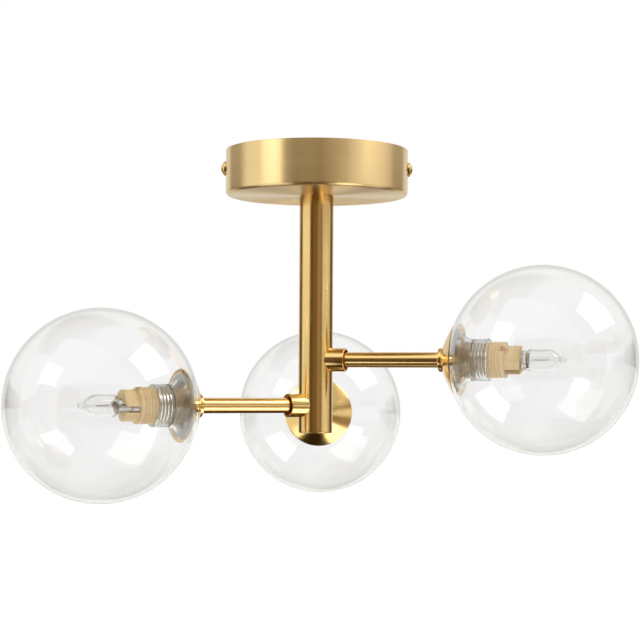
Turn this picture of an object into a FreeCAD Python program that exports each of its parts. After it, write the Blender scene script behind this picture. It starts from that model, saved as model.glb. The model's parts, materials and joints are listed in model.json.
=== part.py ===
import FreeCAD, Part
import math
import os

# Semi flush ceiling light: a round brass canopy, a plumb stem and three level arms, each with a
# spun cup, a G9 lampholder and a clear glass globe that screws onto the lampholder.
# Millimetres. +Z is up. The origin is the centre of the ceiling face and the light hangs below it.

# ---------------------------------------------------------------- driving dimensions: clearances
FIT_GAP = 0.1                # between fixed pieces, round a thread or a pressed fit
MOVING_GAP = 0.35            # between pieces that move past each other

# ---------------------------------------------------------------- driving dimensions: canopy
CANOPY_RADIUS = 60.0
CANOPY_HEIGHT = 30.0
CANOPY_WALL = 1.2
CANOPY_EDGE_ROUND = 2.5
SIDE_SCREW_DEPTH = 12.0      # below the ceiling
SIDE_SCREW_RADIUS = 2.0
SIDE_SCREW_HOLE_RADIUS = 2.3
SIDE_SCREW_LENGTH = 10.0
SIDE_SCREW_HEAD_RADIUS = 4.7
SIDE_SCREW_HEAD_HEIGHT = 3.3
SIDE_SCREW_RIM = 1.1         # straight edge of the head below its dome
SIDE_SCREW_SLOT_WIDTH = 1.1
SIDE_SCREW_SLOT_DEPTH = 1.2

# ---------------------------------------------------------------- driving dimensions: bracket
BRACKET_WIDTH = 20.0
BRACKET_THICKNESS = 1.5
BRACKET_EAR_LENGTH = 18.0
BRACKET_BEND_RADIUS = 2.0
CEILING_SLOT_SPACING = 70.0
CEILING_SLOT_LENGTH = 20.0
CEILING_SLOT_RADIUS = 2.25
BRACKET_CENTRE_HOLE_RADIUS = 5.2
BLOCK_TAB_WIDTH = 16.0

# ---------------------------------------------------------------- driving dimensions: terminals
BLOCK_POLES = 3
POLE_PITCH = 9.0
BLOCK_DEPTH = 17.0
BLOCK_HEIGHT = 12.0
BLOCK_FRONT = 18.0           # from the stem's axis to the face that the leads enter
BARREL_RADIUS = 2.6
BARREL_BORE_RADIUS = 1.7
BLOCK_CORNER_ROUND = 1.5
BLOCK_GROOVE_WIDTH = 1.2     # between poles, on the lower face
BLOCK_GROOVE_DEPTH = 2.5
BARREL_DROP = 6.5            # below the block's upper face
TERMINAL_SCREW_RADIUS = 1.5
TERMINAL_SCREW_INSET = 4.0
TERMINAL_SCREW_SUNK = 0.8
BLOCK_SCREW_RADIUS = 1.5
BLOCK_SCREW_HEAD_RADIUS = 2.8
BLOCK_SCREW_HEAD_HEIGHT = 1.6
EARTH_SCREW_RADIUS = 1.75
EARTH_SCREW_HEAD_RADIUS = 3.4
EARTH_SCREW_HEAD_HEIGHT = 2.4
SMALL_SLOT_WIDTH = 0.8
SMALL_SLOT_DEPTH = 0.8

# ---------------------------------------------------------------- driving dimensions: stem
STEM_RADIUS = 11.25
STEM_WALL = 1.5
STEM_BOTTOM = 186.0          # below the ceiling
STEM_CAP_THICKNESS = 1.2
STEM_CAP_ROUND = 0.6
STEM_CAP_SPIGOT = 6.0
STEM_CAP_SPIGOT_WALL = 2.0
BUSH_LENGTH = 10.0
NIPPLE_RADIUS = 5.0
NIPPLE_BORE_RADIUS = 4.0
NIPPLE_REACH = 12.0          # above the canopy's outer floor
WASHER_RADIUS = 9.0
WASHER_THICKNESS = 1.0
NUT_ACROSS_FLATS = 14.0
NUT_HEIGHT = 4.5
CUP_NUT_ACROSS_FLATS = 12.5
CUP_NUT_HEIGHT = 3.0

# ---------------------------------------------------------------- driving dimensions: arms
# name: (bearing in degrees from +X towards +Y, depth below the ceiling, turn of the lampholder)
ARMS = {
    "right": (-17.5, 138.0, 52.0),
    "left": (209.0, 168.0, -15.0),
    "rear": (88.8, 174.0, 30.0),
}
GLOBE_REACH = 150.0          # stem's axis to globe's centre
ARM_RADIUS = 5.0
ARM_WALL = 1.0
ARM_THREAD = 8.0             # how far the arm screws into the lampholder's base
COLLAR_RADIUS = 7.75
COLLAR_REACH = 20.8          # stem's axis to the collar's open end
COLLAR_RECESS_RADIUS = 6.6
COLLAR_RECESS_DEPTH = 5.5
COLLAR_EDGE = 0.35
RING_RADIUS = 7.75
RING_THICKNESS = 2.5
RING_EDGE = 0.5
CUP_RADIUS = 24.0
CUP_DEPTH = 8.8
CUP_WALL = 1.0
CUP_BULGE = 0.5              # how far the cup's side swells past its straight chord

# ---------------------------------------------------------------- driving dimensions: glass globe
GLOBE_RADIUS = 60.0
GLASS_WALL = 1.6
NECK_BORE_RADIUS = 12.0
NECK_ROUND = 8.5             # inside radius of the roll that turns the ball into the neck
NECK_LENGTH = 10.8           # straight threaded part past the roll
SEAL_INNER_RADIUS = 14.5
SEAL_OUTER_RADIUS = 20.0

# ---------------------------------------------------------------- driving dimensions: lampholder
SKIRT_GAP = 0.4              # radial room between the skirt and the glass neck
SKIRT_SHOWING = 11.0         # skirt that stands past the end of the glass neck
HOLDER_BASE_RADIUS = 10.8
HOLDER_BASE_LENGTH = 10.0
HOLDER_BASE_EDGE = 1.0
NOSE_RADIUS = 9.95
NOSE_LENGTH = 9.5
NOSE_ACROSS_FLATS = 16.2
NOSE_FLAT_TURN = 52.0        # between the slot and the flats
NOSE_EDGE = 0.5
PIN_PITCH = 9.0
PIN_HOLE_RADIUS = 1.6
VENT_RADIUS = 2.6
CONTACT_ROOM_ROOF = 2.0      # ceramic between the contacts' room and the slot's floor
CONTACT_ROOM_WIDTH = 16.0
CONTACT_ROOM_HEIGHT = 8.0
CONTACT_WIDTH = 4.0
CONTACT_HEIGHT = 4.6
CONTACT_LENGTH = 8.0
CONTACT_THROAT = 6.0         # depth of the fork

# ---------------------------------------------------------------- driving dimensions: bulb
BULB_RADIUS = 6.85
BULB_WALL = 0.9
BULB_STANDOFF = 3.4          # from the lampholder's nose to the capsule
BULB_NECK_RADIUS = 4.3
BULB_SHOULDER = 2.0
BULB_STRAIGHT = 13.0
BULB_TAPER = 8.5
BULB_TIP_RADIUS = 1.5
BULB_TIP_LENGTH = 3.6
PINCH_WIDTH = 14.0
PINCH_THICKNESS = 3.6
PINCH_EDGE = 1.1
PIN_LENGTH = 6.4
PIN_WIDTH = 2.1
PIN_THICKNESS = 0.9
PIN_TIP_ROUND = 0.9
FILAMENT_RADIUS = 0.7
FILAMENT_LENGTH = 10.0
FILAMENT_END = 1.0           # bare wire at each end of the coil
FILAMENT_WIRE_RADIUS = 0.25
FILAMENT_WIRE_OFFSET = 2.4
FILAMENT_WIRE_BEND = 0.75
FILAMENT_STANDOFF = 3.0

# ---------------------------------------------------------------- driving dimensions: leads
LEAD_RADIUS = 1.4
LEAD_OFFSET = 1.9            # from the stem's axis, each lead on its own arm's side
LEAD_BEND = 6.0
LEAD_STRAIGHTEN = 3.0        # where a lead lines up with its terminal, before the block
LEAD_ENTRY = 2.0             # how far a lead goes into its terminal

# ---------------------------------------------------------------- sizes that follow from them
FLOOR_TOP = -CANOPY_HEIGHT + CANOPY_WALL
CANOPY_INSIDE = CANOPY_RADIUS - CANOPY_WALL
STEM_INSIDE = STEM_RADIUS - STEM_WALL
NECK_OUTER_RADIUS = NECK_BORE_RADIUS + GLASS_WALL
ROLL_OUTER = NECK_ROUND + GLASS_WALL
ROLL_RADIUS_OUT = NECK_BORE_RADIUS + ROLL_OUTER
ROLL_DISTANCE = GLOBE_RADIUS - ROLL_OUTER
ROLL_X = GLOBE_REACH - math.sqrt(ROLL_DISTANCE ** 2 - ROLL_RADIUS_OUT ** 2)
NECK_END = ROLL_X + NECK_LENGTH
SKIRT_RADIUS = NECK_BORE_RADIUS - SKIRT_GAP
SKIRT_END = NECK_END + SKIRT_SHOWING
NOSE_END = SKIRT_END + NOSE_LENGTH
SLOT_WIDTH = PINCH_THICKNESS + 2 * MOVING_GAP
PINCH_START = SKIRT_END + MOVING_GAP
CAPSULE_START = NOSE_END + BULB_STANDOFF
PIN_START = PINCH_START - PIN_LENGTH
CONTACT_END = SKIRT_END - CONTACT_ROOM_ROOF - FIT_GAP
CONTACT_START = CONTACT_END - CONTACT_LENGTH
SLOT_START = (CEILING_SLOT_SPACING - CEILING_SLOT_LENGTH) / 2
EARTH_SCREW_PLACE = -(BRACKET_CENTRE_HOLE_RADIUS + SLOT_START) / 2
PAST = 1.0                   # how far a cutting tool reaches past the face it opens
BEAM = 1000.0                # longer than any piece, for cutting right through


def vec(x, y, z):
    return FreeCAD.Vector(x, y, z)


X_DIR = vec(1, 0, 0)
Y_DIR = vec(0, 1, 0)
Z_DIR = vec(0, 0, 1)


# ---------------------------------------------------------------- building blocks
def rod(start, length, radius, direction=X_DIR):
    """A round bar from start along direction."""
    return Part.makeCylinder(radius, length, start, direction)


def x_rod(x0, x1, radius):
    """A round bar on the arm's axis from x0 to x1."""
    return rod(vec(x0, 0, 0), x1 - x0, radius)


def z_rod(z0, z1, radius, x=0.0, y=0.0):
    """An upright round bar from z0 up to z1."""
    return rod(vec(x, y, z0), z1 - z0, radius, Z_DIR)


def block(x0, x1, y0, y1, z0, z1):
    """A box between two opposite corners."""
    return Part.makeBox(x1 - x0, y1 - y0, z1 - z0, vec(x0, y0, z0))


def line(a, b):
    return Part.LineSegment(a, b).toShape()


def arc(a, through, b):
    return Part.Arc(a, through, b).toShape()


def centred_arc(centre, a, b):
    """The shorter arc from a to b round a centre."""
    middle = ((a - centre).normalize() + (b - centre).normalize()).normalize()
    return arc(a, centre + middle * (a - centre).Length, b)


def dome_arc(start, top_x):
    """Arc from start to the X axis at top_x, square to the axis there."""
    rise = top_x - start.x
    radius = (rise ** 2 + start.y ** 2) / (2 * rise)
    return centred_arc(vec(top_x - radius, 0, 0), start, vec(top_x, 0, 0))


def ogive_arc(start, end):
    """Arc from start to end that leaves start parallel to the X axis."""
    drop = start.y - end.y
    radius = ((end.x - start.x) ** 2 + drop ** 2) / (2 * drop)
    return centred_arc(start - vec(0, radius, 0), start, end)


def turned(edges):
    """A full turn of a closed outline about the X axis."""
    face = Part.Face(Part.Wire(edges))
    return face.revolve(vec(0, 0, 0), X_DIR, 360)


def hexagon(x0, height, across_flats, direction):
    """A six-sided bar that starts at x0 along direction."""
    corner_radius = across_flats / math.sqrt(3)
    flat = Part.makePolygon(
        [vec(corner_radius * math.cos(math.radians(60 * k)),
             corner_radius * math.sin(math.radians(60 * k)), 0) for k in range(7)])
    bar = Part.Face(flat).extrude(vec(0, 0, height))
    if direction == X_DIR:
        bar.rotate(vec(0, 0, 0), Y_DIR, 90)
    bar.translate(direction * x0)
    return bar


def rounded_path(corners, radius):
    """Straight runs through the corners, joined by tangent arcs."""
    edges = []
    here = corners[0]
    for before, corner, after in zip(corners, corners[1:], corners[2:]):
        back = (before - corner).normalize()
        ahead = (after - corner).normalize()
        half_angle = back.getAngle(ahead) / 2
        setback = radius / math.tan(half_angle)
        start = corner + back * setback
        end = corner + ahead * setback
        bisector = (back + ahead).normalize()
        middle = corner + bisector * (radius / math.sin(half_angle) - radius)
        edges.append(line(here, start))
        edges.append(arc(start, middle, end))
        here = end
    edges.append(line(here, corners[-1]))
    return Part.Wire(edges)


def swept_round(path, radius):
    """A round bar along a path."""
    first = path.Edges[0]
    start = first.valueAt(first.FirstParameter)
    heading = first.tangentAt(first.FirstParameter)
    section = Part.Wire([Part.Circle(start, heading, radius).toShape()])
    return path.makePipeShell([section], True, False)


def domed_screw():
    """Canopy screw along +X with its head's underside at 0: domed and slotted."""
    rim = vec(SIDE_SCREW_RIM, SIDE_SCREW_HEAD_RADIUS, 0)
    top = SIDE_SCREW_HEAD_HEIGHT
    edges = [
        line(vec(-SIDE_SCREW_LENGTH, 0, 0), vec(-SIDE_SCREW_LENGTH, SIDE_SCREW_RADIUS, 0)),
        line(vec(-SIDE_SCREW_LENGTH, SIDE_SCREW_RADIUS, 0), vec(0, SIDE_SCREW_RADIUS, 0)),
        line(vec(0, SIDE_SCREW_RADIUS, 0), vec(0, SIDE_SCREW_HEAD_RADIUS, 0)),
        line(vec(0, SIDE_SCREW_HEAD_RADIUS, 0), rim),
        dome_arc(rim, top),
        line(vec(top, 0, 0), vec(-SIDE_SCREW_LENGTH, 0, 0)),
    ]
    half_width = SIDE_SCREW_SLOT_WIDTH / 2
    slot = block(top - SIDE_SCREW_SLOT_DEPTH, top + PAST, -half_width, half_width, -BEAM, BEAM)
    return turned(edges).cut(slot)


def upright_screw(x, y, top, under_head, radius, head_radius, head_height):
    """A slotted screw with its head below."""
    shank = z_rod(under_head, top, radius, x, y)
    head = z_rod(under_head - head_height, under_head, head_radius, x, y)
    slot_top = under_head - head_height + SMALL_SLOT_DEPTH
    slot = block(x - head_radius - PAST, x + head_radius + PAST,
                 y - SMALL_SLOT_WIDTH / 2, y + SMALL_SLOT_WIDTH / 2,
                 under_head - head_height - PAST, slot_top)
    return shank.fuse(head).cut(slot)


# ---------------------------------------------------------------- canopy and what it holds
def canopy():
    """Spun drum, open to the ceiling, with the stem's hole and two side screw holes."""
    shell = z_rod(-CANOPY_HEIGHT, 0, CANOPY_RADIUS)
    bottom = [e for e in shell.Edges if e.BoundBox.ZMax < -CANOPY_HEIGHT / 2]
    shell = shell.makeFillet(CANOPY_EDGE_ROUND, bottom)
    inside = z_rod(FLOOR_TOP, PAST, CANOPY_INSIDE)
    bottom = [e for e in inside.Edges if e.BoundBox.ZMax < -CANOPY_HEIGHT / 2]
    inside = inside.makeFillet(CANOPY_EDGE_ROUND - CANOPY_WALL, bottom)
    stem_hole = z_rod(-CANOPY_HEIGHT - PAST, 0, NIPPLE_RADIUS + FIT_GAP)
    return shell.cut([inside, stem_hole, side_bore(SIDE_SCREW_HOLE_RADIUS)])


def side_bore(radius):
    """Cutting tool for the side screws' holes, right across the canopy."""
    return rod(vec(-BEAM / 2, 0, -SIDE_SCREW_DEPTH), BEAM, radius)


def bent_strap():
    """Steel strap across the canopy with an ear bent down at each end."""
    reach = math.sqrt(CANOPY_INSIDE ** 2 - (BRACKET_WIDTH / 2) ** 2) - MOVING_GAP
    half = BRACKET_WIDTH / 2
    outer = block(-reach, reach, -half, half, -BRACKET_EAR_LENGTH, 0)
    outer = outer.makeFillet(BRACKET_BEND_RADIUS + BRACKET_THICKNESS, upper_cross_edges(outer))
    inner = block(-reach + BRACKET_THICKNESS, reach - BRACKET_THICKNESS, -half - PAST, half + PAST,
                  -BRACKET_EAR_LENGTH - PAST, -BRACKET_THICKNESS)
    inner = inner.makeFillet(BRACKET_BEND_RADIUS, upper_cross_edges(inner))
    return outer.cut(inner)


def upper_cross_edges(bar):
    """Edges of a box's upper face that run along Y."""
    top = bar.BoundBox.ZMax
    return [e for e in bar.Edges
            if e.Vertexes[0].Z == e.Vertexes[1].Z == top and e.Vertexes[0].X == e.Vertexes[1].X]


def ceiling_bracket():
    """Bent strap with its holes and a tab for the terminal block."""
    tab_half = BLOCK_TAB_WIDTH / 2
    tab = block(-tab_half, tab_half, 0, BLOCK_FRONT + BLOCK_DEPTH, -BRACKET_THICKNESS, 0)
    below = -2 * BRACKET_THICKNESS
    cuts = [
        side_bore(SIDE_SCREW_RADIUS + FIT_GAP),
        z_rod(below, PAST, BRACKET_CENTRE_HOLE_RADIUS),
        z_rod(below, PAST, BLOCK_SCREW_RADIUS + FIT_GAP, BLOCK_SCREW_X, BLOCK_MIDDLE),
        z_rod(below, PAST, EARTH_SCREW_RADIUS + FIT_GAP, EARTH_SCREW_PLACE),
    ]
    straight = CEILING_SLOT_LENGTH / 2 - CEILING_SLOT_RADIUS
    for side in (-1, 1):
        middle = side * CEILING_SLOT_SPACING / 2
        cuts.append(block(middle - straight, middle + straight,
                          -CEILING_SLOT_RADIUS, CEILING_SLOT_RADIUS, below, PAST))
        for end in (-1, 1):
            cuts.append(z_rod(below, PAST, CEILING_SLOT_RADIUS, middle + end * straight))
    return bent_strap().fuse(tab).cut(cuts).removeSplitter()


def canopy_screws():
    """One domed screw on each side, through the canopy into the bracket's ear."""
    screw = domed_screw()
    screw.translate(vec(CANOPY_RADIUS, 0, -SIDE_SCREW_DEPTH))
    other = screw.copy()
    other.rotate(vec(0, 0, 0), Z_DIR, 180)
    return Part.makeCompound([screw, other])


POLE_PLACES = [(k - (BLOCK_POLES - 1) / 2) * POLE_PITCH for k in range(BLOCK_POLES)]
BLOCK_TOP = -BRACKET_THICKNESS
BLOCK_BOTTOM = BLOCK_TOP - BLOCK_HEIGHT
BLOCK_MIDDLE = BLOCK_FRONT + BLOCK_DEPTH / 2
BLOCK_SCREW_X = POLE_PITCH / 2
BARREL_Z = BLOCK_TOP - BARREL_DROP


def terminal_screw_places():
    """Two clamp screws for each pole, one near each face."""
    rows = (BLOCK_FRONT + TERMINAL_SCREW_INSET, BLOCK_FRONT + BLOCK_DEPTH - TERMINAL_SCREW_INSET)
    return [(x, y) for x in POLE_PLACES for y in rows]


def terminal_block():
    """Moulded block with a through hole for each pole, hung under the bracket's tab."""
    half = BLOCK_POLES * POLE_PITCH / 2
    back = BLOCK_FRONT + BLOCK_DEPTH
    body = block(-half, half, BLOCK_FRONT, back, BLOCK_BOTTOM, BLOCK_TOP)
    upright = [e for e in body.Edges if e.BoundBox.ZLength > BLOCK_HEIGHT / 2]
    body = body.makeFillet(BLOCK_CORNER_ROUND, upright)
    cuts = [z_rod(BLOCK_BOTTOM - PAST, 0, BLOCK_SCREW_RADIUS + FIT_GAP, BLOCK_SCREW_X, BLOCK_MIDDLE)]
    for x in POLE_PLACES:
        cuts.append(rod(vec(x, 0, BARREL_Z), BEAM, BARREL_RADIUS + FIT_GAP, Y_DIR))
    for x, y in terminal_screw_places():
        cuts.append(z_rod(BLOCK_BOTTOM - PAST, BARREL_Z, TERMINAL_SCREW_RADIUS + FIT_GAP, x, y))
    for pole in POLE_PLACES[:-1]:
        x = pole + POLE_PITCH / 2
        cuts.append(block(x - BLOCK_GROOVE_WIDTH / 2, x + BLOCK_GROOVE_WIDTH / 2, 0, BEAM,
                          BLOCK_BOTTOM - PAST, BLOCK_BOTTOM + BLOCK_GROOVE_DEPTH))
    return body.cut(cuts)


def terminal_barrels():
    """A brass barrel in each pole."""
    barrels = []
    for x in POLE_PLACES:
        start = vec(x, BLOCK_FRONT, BARREL_Z)
        barrel = rod(start, BLOCK_DEPTH, BARREL_RADIUS, Y_DIR)
        barrels.append(barrel.cut(rod(start, BLOCK_DEPTH, BARREL_BORE_RADIUS, Y_DIR)))
    return Part.makeCompound(barrels)


def terminal_screws():
    """Two clamp screws for each barrel, reached from below."""
    bottom = BLOCK_BOTTOM + TERMINAL_SCREW_SUNK
    screws = [z_rod(bottom, BARREL_Z - BARREL_RADIUS, TERMINAL_SCREW_RADIUS, x, y)
              for x, y in terminal_screw_places()]
    return Part.makeCompound(screws)


def block_screw():
    """Holds the terminal block up under the bracket's tab."""
    return upright_screw(BLOCK_SCREW_X, BLOCK_MIDDLE, 0, BLOCK_BOTTOM,
                         BLOCK_SCREW_RADIUS, BLOCK_SCREW_HEAD_RADIUS, BLOCK_SCREW_HEAD_HEIGHT)


def earth_screw():
    """Earth clamp screw in the strap."""
    return upright_screw(EARTH_SCREW_PLACE, 0, 0, -BRACKET_THICKNESS,
                         EARTH_SCREW_RADIUS, EARTH_SCREW_HEAD_RADIUS, EARTH_SCREW_HEAD_HEIGHT)


# ---------------------------------------------------------------- stem
def stem_nipple():
    """Hollow threaded tube from the bush up through the canopy's floor."""
    bottom = -CANOPY_HEIGHT - BUSH_LENGTH
    top = -CANOPY_HEIGHT + NIPPLE_REACH
    return z_rod(bottom, top, NIPPLE_RADIUS).cut(z_rod(-BEAM, BEAM, NIPPLE_BORE_RADIUS))


def stem_washer():
    """Flat washer on the canopy's floor."""
    washer = z_rod(FLOOR_TOP, FLOOR_TOP + WASHER_THICKNESS, WASHER_RADIUS)
    return washer.cut(z_rod(-BEAM, BEAM, NIPPLE_RADIUS + FIT_GAP))


def stem_nut():
    """Hexagon nut that clamps the stem to the canopy."""
    nut = hexagon(FLOOR_TOP + WASHER_THICKNESS, NUT_HEIGHT, NUT_ACROSS_FLATS, Z_DIR)
    return nut.cut(z_rod(-BEAM, BEAM, NIPPLE_RADIUS + FIT_GAP))


def stem_bush():
    """Tapped plug in the stem's upper end."""
    bush = z_rod(-CANOPY_HEIGHT - BUSH_LENGTH, -CANOPY_HEIGHT, STEM_INSIDE - FIT_GAP)
    return bush.cut(z_rod(-BEAM, BEAM, NIPPLE_RADIUS + FIT_GAP))


def stem_tube():
    """Plumb tube with a lead hole at each arm."""
    tube = z_rod(-STEM_BOTTOM + STEM_CAP_THICKNESS, -CANOPY_HEIGHT, STEM_RADIUS)
    cuts = [z_rod(-BEAM, BEAM, STEM_INSIDE)]
    for bearing, depth, _ in ARMS.values():
        hole = x_rod(0, STEM_RADIUS + PAST, ARM_RADIUS - ARM_WALL)
        cuts.append(placed_on_arm(hole, bearing, depth, 0))
    return tube.cut(cuts)


def stem_end_cap():
    """Rounded disc with a spigot that closes the stem."""
    top = -STEM_BOTTOM + STEM_CAP_THICKNESS
    disc = z_rod(-STEM_BOTTOM, top, STEM_RADIUS)
    bottom = [e for e in disc.Edges if e.BoundBox.ZMax < top - STEM_CAP_THICKNESS / 2]
    disc = disc.makeFillet(STEM_CAP_ROUND, bottom)
    spigot_radius = STEM_INSIDE - FIT_GAP
    spigot = z_rod(top, top + STEM_CAP_SPIGOT, spigot_radius)
    return disc.fuse(spigot).cut(z_rod(top, BEAM, spigot_radius - STEM_CAP_SPIGOT_WALL))


# ---------------------------------------------------------------- one arm, along +X at height 0
def arm_collar():
    """Sleeve with a saddle end on the stem and an open recess round the arm."""
    collar = x_rod(0, COLLAR_REACH, COLLAR_RADIUS)
    rim = [e for e in collar.Edges if e.BoundBox.XMin > COLLAR_REACH / 2]
    collar = collar.makeFillet(COLLAR_EDGE, rim)
    saddle = z_rod(-BEAM, BEAM, STEM_RADIUS + FIT_GAP / 2)
    thread = x_rod(0, BEAM, ARM_RADIUS + FIT_GAP)
    recess = x_rod(COLLAR_REACH - COLLAR_RECESS_DEPTH, BEAM, COLLAR_RECESS_RADIUS)
    return collar.cut([saddle, thread, recess])


def glass_front(radius):
    """How far out along the arm the globe's outer surface starts, at a radius from the arm's axis."""
    tangent_radius = ROLL_RADIUS_OUT * GLOBE_RADIUS / ROLL_DISTANCE
    if radius < tangent_radius:
        return ROLL_X - math.sqrt(ROLL_OUTER ** 2 - (ROLL_RADIUS_OUT - radius) ** 2)
    return GLOBE_REACH - math.sqrt(GLOBE_RADIUS ** 2 - radius ** 2)


RIM_X = glass_front(CUP_RADIUS - CUP_WALL) - MOVING_GAP
CUP_BACK = RIM_X - CUP_DEPTH
CUP_FLOOR = CUP_BACK + CUP_WALL
HOLDER_START = CUP_FLOOR + CUP_NUT_HEIGHT
SKIRT_START = HOLDER_START + HOLDER_BASE_LENGTH
ARM_END = HOLDER_START + ARM_THREAD


def cup_curve():
    """Centre and radius of the arc that the cup's outside follows in section."""
    hub = vec(CUP_BACK, RING_RADIUS, 0)
    rim = vec(RIM_X, CUP_RADIUS, 0)
    chord = rim - hub
    radius = ((chord.Length / 2) ** 2 + CUP_BULGE ** 2) / (2 * CUP_BULGE)
    inward = vec(chord.y, -chord.x, 0).normalize()
    centre = (hub + rim) * 0.5 + inward * (radius - CUP_BULGE)
    return centre, radius


def cup_at_radius(height, inset):
    """Point of the cup's section at a distance from the arm's axis, inset from its outside."""
    centre, radius = cup_curve()
    x = centre.x - math.sqrt((radius - inset) ** 2 - (height - centre.y) ** 2)
    return vec(x, height, 0)


def cup_at_x(x, inset):
    """Point of the cup's section at a place along the arm, inset from its outside."""
    centre, radius = cup_curve()
    return vec(x, centre.y + math.sqrt((radius - inset) ** 2 - (x - centre.x) ** 2), 0)


def arm_tube():
    """Level tube from the collar's thread into the lampholder's base."""
    tube = x_rod(STEM_RADIUS + FIT_GAP, ARM_END, ARM_RADIUS)
    return tube.cut(x_rod(0, BEAM, ARM_RADIUS - ARM_WALL))


def arm_ring():
    """Turned ring behind the cup."""
    ring = x_rod(CUP_BACK - RING_THICKNESS, CUP_BACK, RING_RADIUS)
    rims = [e for e in ring.Edges if e.BoundBox.XLength < RING_THICKNESS / 2]
    ring = ring.makeFillet(RING_EDGE, rims)
    return ring.cut(x_rod(0, BEAM, ARM_RADIUS + FIT_GAP))


def arm_cup():
    """Spun cup: a flat hub and a side that curves out to the rim."""
    bore = ARM_RADIUS + FIT_GAP
    centre, _ = cup_curve()
    outer_hub = vec(CUP_BACK, RING_RADIUS, 0)
    outer_rim = vec(RIM_X, CUP_RADIUS, 0)
    inner_rim = cup_at_x(RIM_X, CUP_WALL)
    inner_hub = cup_at_x(CUP_FLOOR, CUP_WALL)
    edges = [
        line(vec(CUP_BACK, bore, 0), outer_hub),
        centred_arc(centre, outer_hub, outer_rim),
        line(outer_rim, inner_rim),
        centred_arc(centre, inner_rim, inner_hub),
        line(inner_hub, vec(CUP_FLOOR, bore, 0)),
        line(vec(CUP_FLOOR, bore, 0), vec(CUP_BACK, bore, 0)),
    ]
    return turned(edges)


def arm_cup_nut():
    """Thin nut that clamps the cup against the ring."""
    nut = hexagon(CUP_FLOOR, CUP_NUT_HEIGHT, CUP_NUT_ACROSS_FLATS, X_DIR)
    return nut.cut(x_rod(0, BEAM, ARM_RADIUS + FIT_GAP))


def arm_holder_base():
    """Threaded end cap of the lampholder, screwed on the arm's end."""
    base = x_rod(HOLDER_START, SKIRT_START, HOLDER_BASE_RADIUS)
    rim = [e for e in base.Edges if e.BoundBox.XMax < SKIRT_START - HOLDER_BASE_LENGTH / 2]
    base = base.makeFillet(HOLDER_BASE_EDGE, rim)
    thread = x_rod(0, ARM_END + FIT_GAP, ARM_RADIUS + FIT_GAP)
    passage = x_rod(0, BEAM, ARM_RADIUS - ARM_WALL)
    return base.cut([thread, passage])


def contact_room():
    """Rectangular room in the back of the lampholder for the two contacts."""
    half_width = CONTACT_ROOM_WIDTH / 2
    half_height = CONTACT_ROOM_HEIGHT / 2
    return block(SKIRT_START - PAST, CONTACT_END + FIT_GAP,
                 -half_width, half_width, -half_height, half_height)


def holder_nose():
    """Round nose with two flats, crossed by the bulb's slot along Y."""
    nose = x_rod(SKIRT_END, NOSE_END, NOSE_RADIUS)
    rim = [e for e in nose.Edges if e.BoundBox.XMin > NOSE_END - NOSE_LENGTH / 2]
    nose = nose.makeFillet(NOSE_EDGE, rim)
    half = NOSE_ACROSS_FLATS / 2
    for side in (-1, 1):
        flat = block(0, BEAM, -BEAM, BEAM, half, BEAM)
        flat.rotate(vec(0, 0, 0), X_DIR, 90 * side + NOSE_FLAT_TURN)
        nose = nose.cut(flat)
    slot = block(0, BEAM, -BEAM, BEAM, -SLOT_WIDTH / 2, SLOT_WIDTH / 2)
    return nose.cut(slot)


def arm_lampholder():
    """Skirt for the glass's thread and a slotted nose, with the contacts' room behind."""
    body = x_rod(SKIRT_START, SKIRT_END, SKIRT_RADIUS).fuse(holder_nose())
    cuts = [contact_room()]
    for side in (-1, 1):
        cuts.append(rod(vec(SKIRT_START, side * PIN_PITCH / 2, 0),
                        SKIRT_END - SKIRT_START + PAST, PIN_HOLE_RADIUS))
    cuts.append(rod(vec(SKIRT_END - VENT_RADIUS, 0, NOSE_RADIUS), 2 * VENT_RADIUS, VENT_RADIUS))
    return body.cut(cuts).removeSplitter()


def arm_contacts():
    """Two forked spring contacts that take the bulb's pins."""
    contacts = []
    throat_half = PIN_THICKNESS / 2 + MOVING_GAP
    for side in (-1, 1):
        y = side * PIN_PITCH / 2
        fork = block(CONTACT_START, CONTACT_END, y - CONTACT_WIDTH / 2, y + CONTACT_WIDTH / 2,
                     -CONTACT_HEIGHT / 2, CONTACT_HEIGHT / 2)
        throat = block(CONTACT_END - CONTACT_THROAT, BEAM, -BEAM, BEAM, -throat_half, throat_half)
        contacts.append(fork.cut(throat))
    return Part.makeCompound(contacts)


def arm_seal():
    """Silicone seat ring: its back follows the cup, its front is flat towards the glass."""
    inset = CUP_WALL + MOVING_GAP
    centre, _ = cup_curve()
    front = glass_front(SEAL_OUTER_RADIUS) - MOVING_GAP
    back_out = cup_at_radius(SEAL_OUTER_RADIUS, inset)
    back_in = cup_at_radius(SEAL_INNER_RADIUS, inset)
    edges = [
        centred_arc(centre, back_in, back_out),
        line(back_out, vec(front, SEAL_OUTER_RADIUS, 0)),
        line(vec(front, SEAL_OUTER_RADIUS, 0), vec(front, SEAL_INNER_RADIUS, 0)),
        line(vec(front, SEAL_INNER_RADIUS, 0), back_in),
    ]
    return turned(edges)


# ---------------------------------------------------------------- glass globe
def ball_outline(ball_radius, roll_radius, neck_radius):
    """One face of the glass in section: far pole, meridian, roll and straight neck."""
    centre = vec(GLOBE_REACH, 0, 0)
    roll_centre = vec(ROLL_X, ROLL_RADIUS_OUT, 0)
    to_roll = (roll_centre - centre).normalize()
    far_pole = centre + vec(ball_radius, 0, 0)
    touch = centre + to_roll * ball_radius
    half_turn = math.atan2(to_roll.y, to_roll.x) / 2
    meridian = centre + vec(math.cos(half_turn), math.sin(half_turn), 0) * ball_radius
    neck_start = vec(ROLL_X, neck_radius, 0)
    neck_end = vec(NECK_END, neck_radius, 0)
    roll_middle = roll_centre + (to_roll + vec(0, -1, 0)).normalize() * roll_radius
    edges = [
        arc(far_pole, meridian, touch),
        arc(touch, roll_middle, neck_start),
        line(neck_start, neck_end),
    ]
    return edges, far_pole, neck_end


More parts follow.
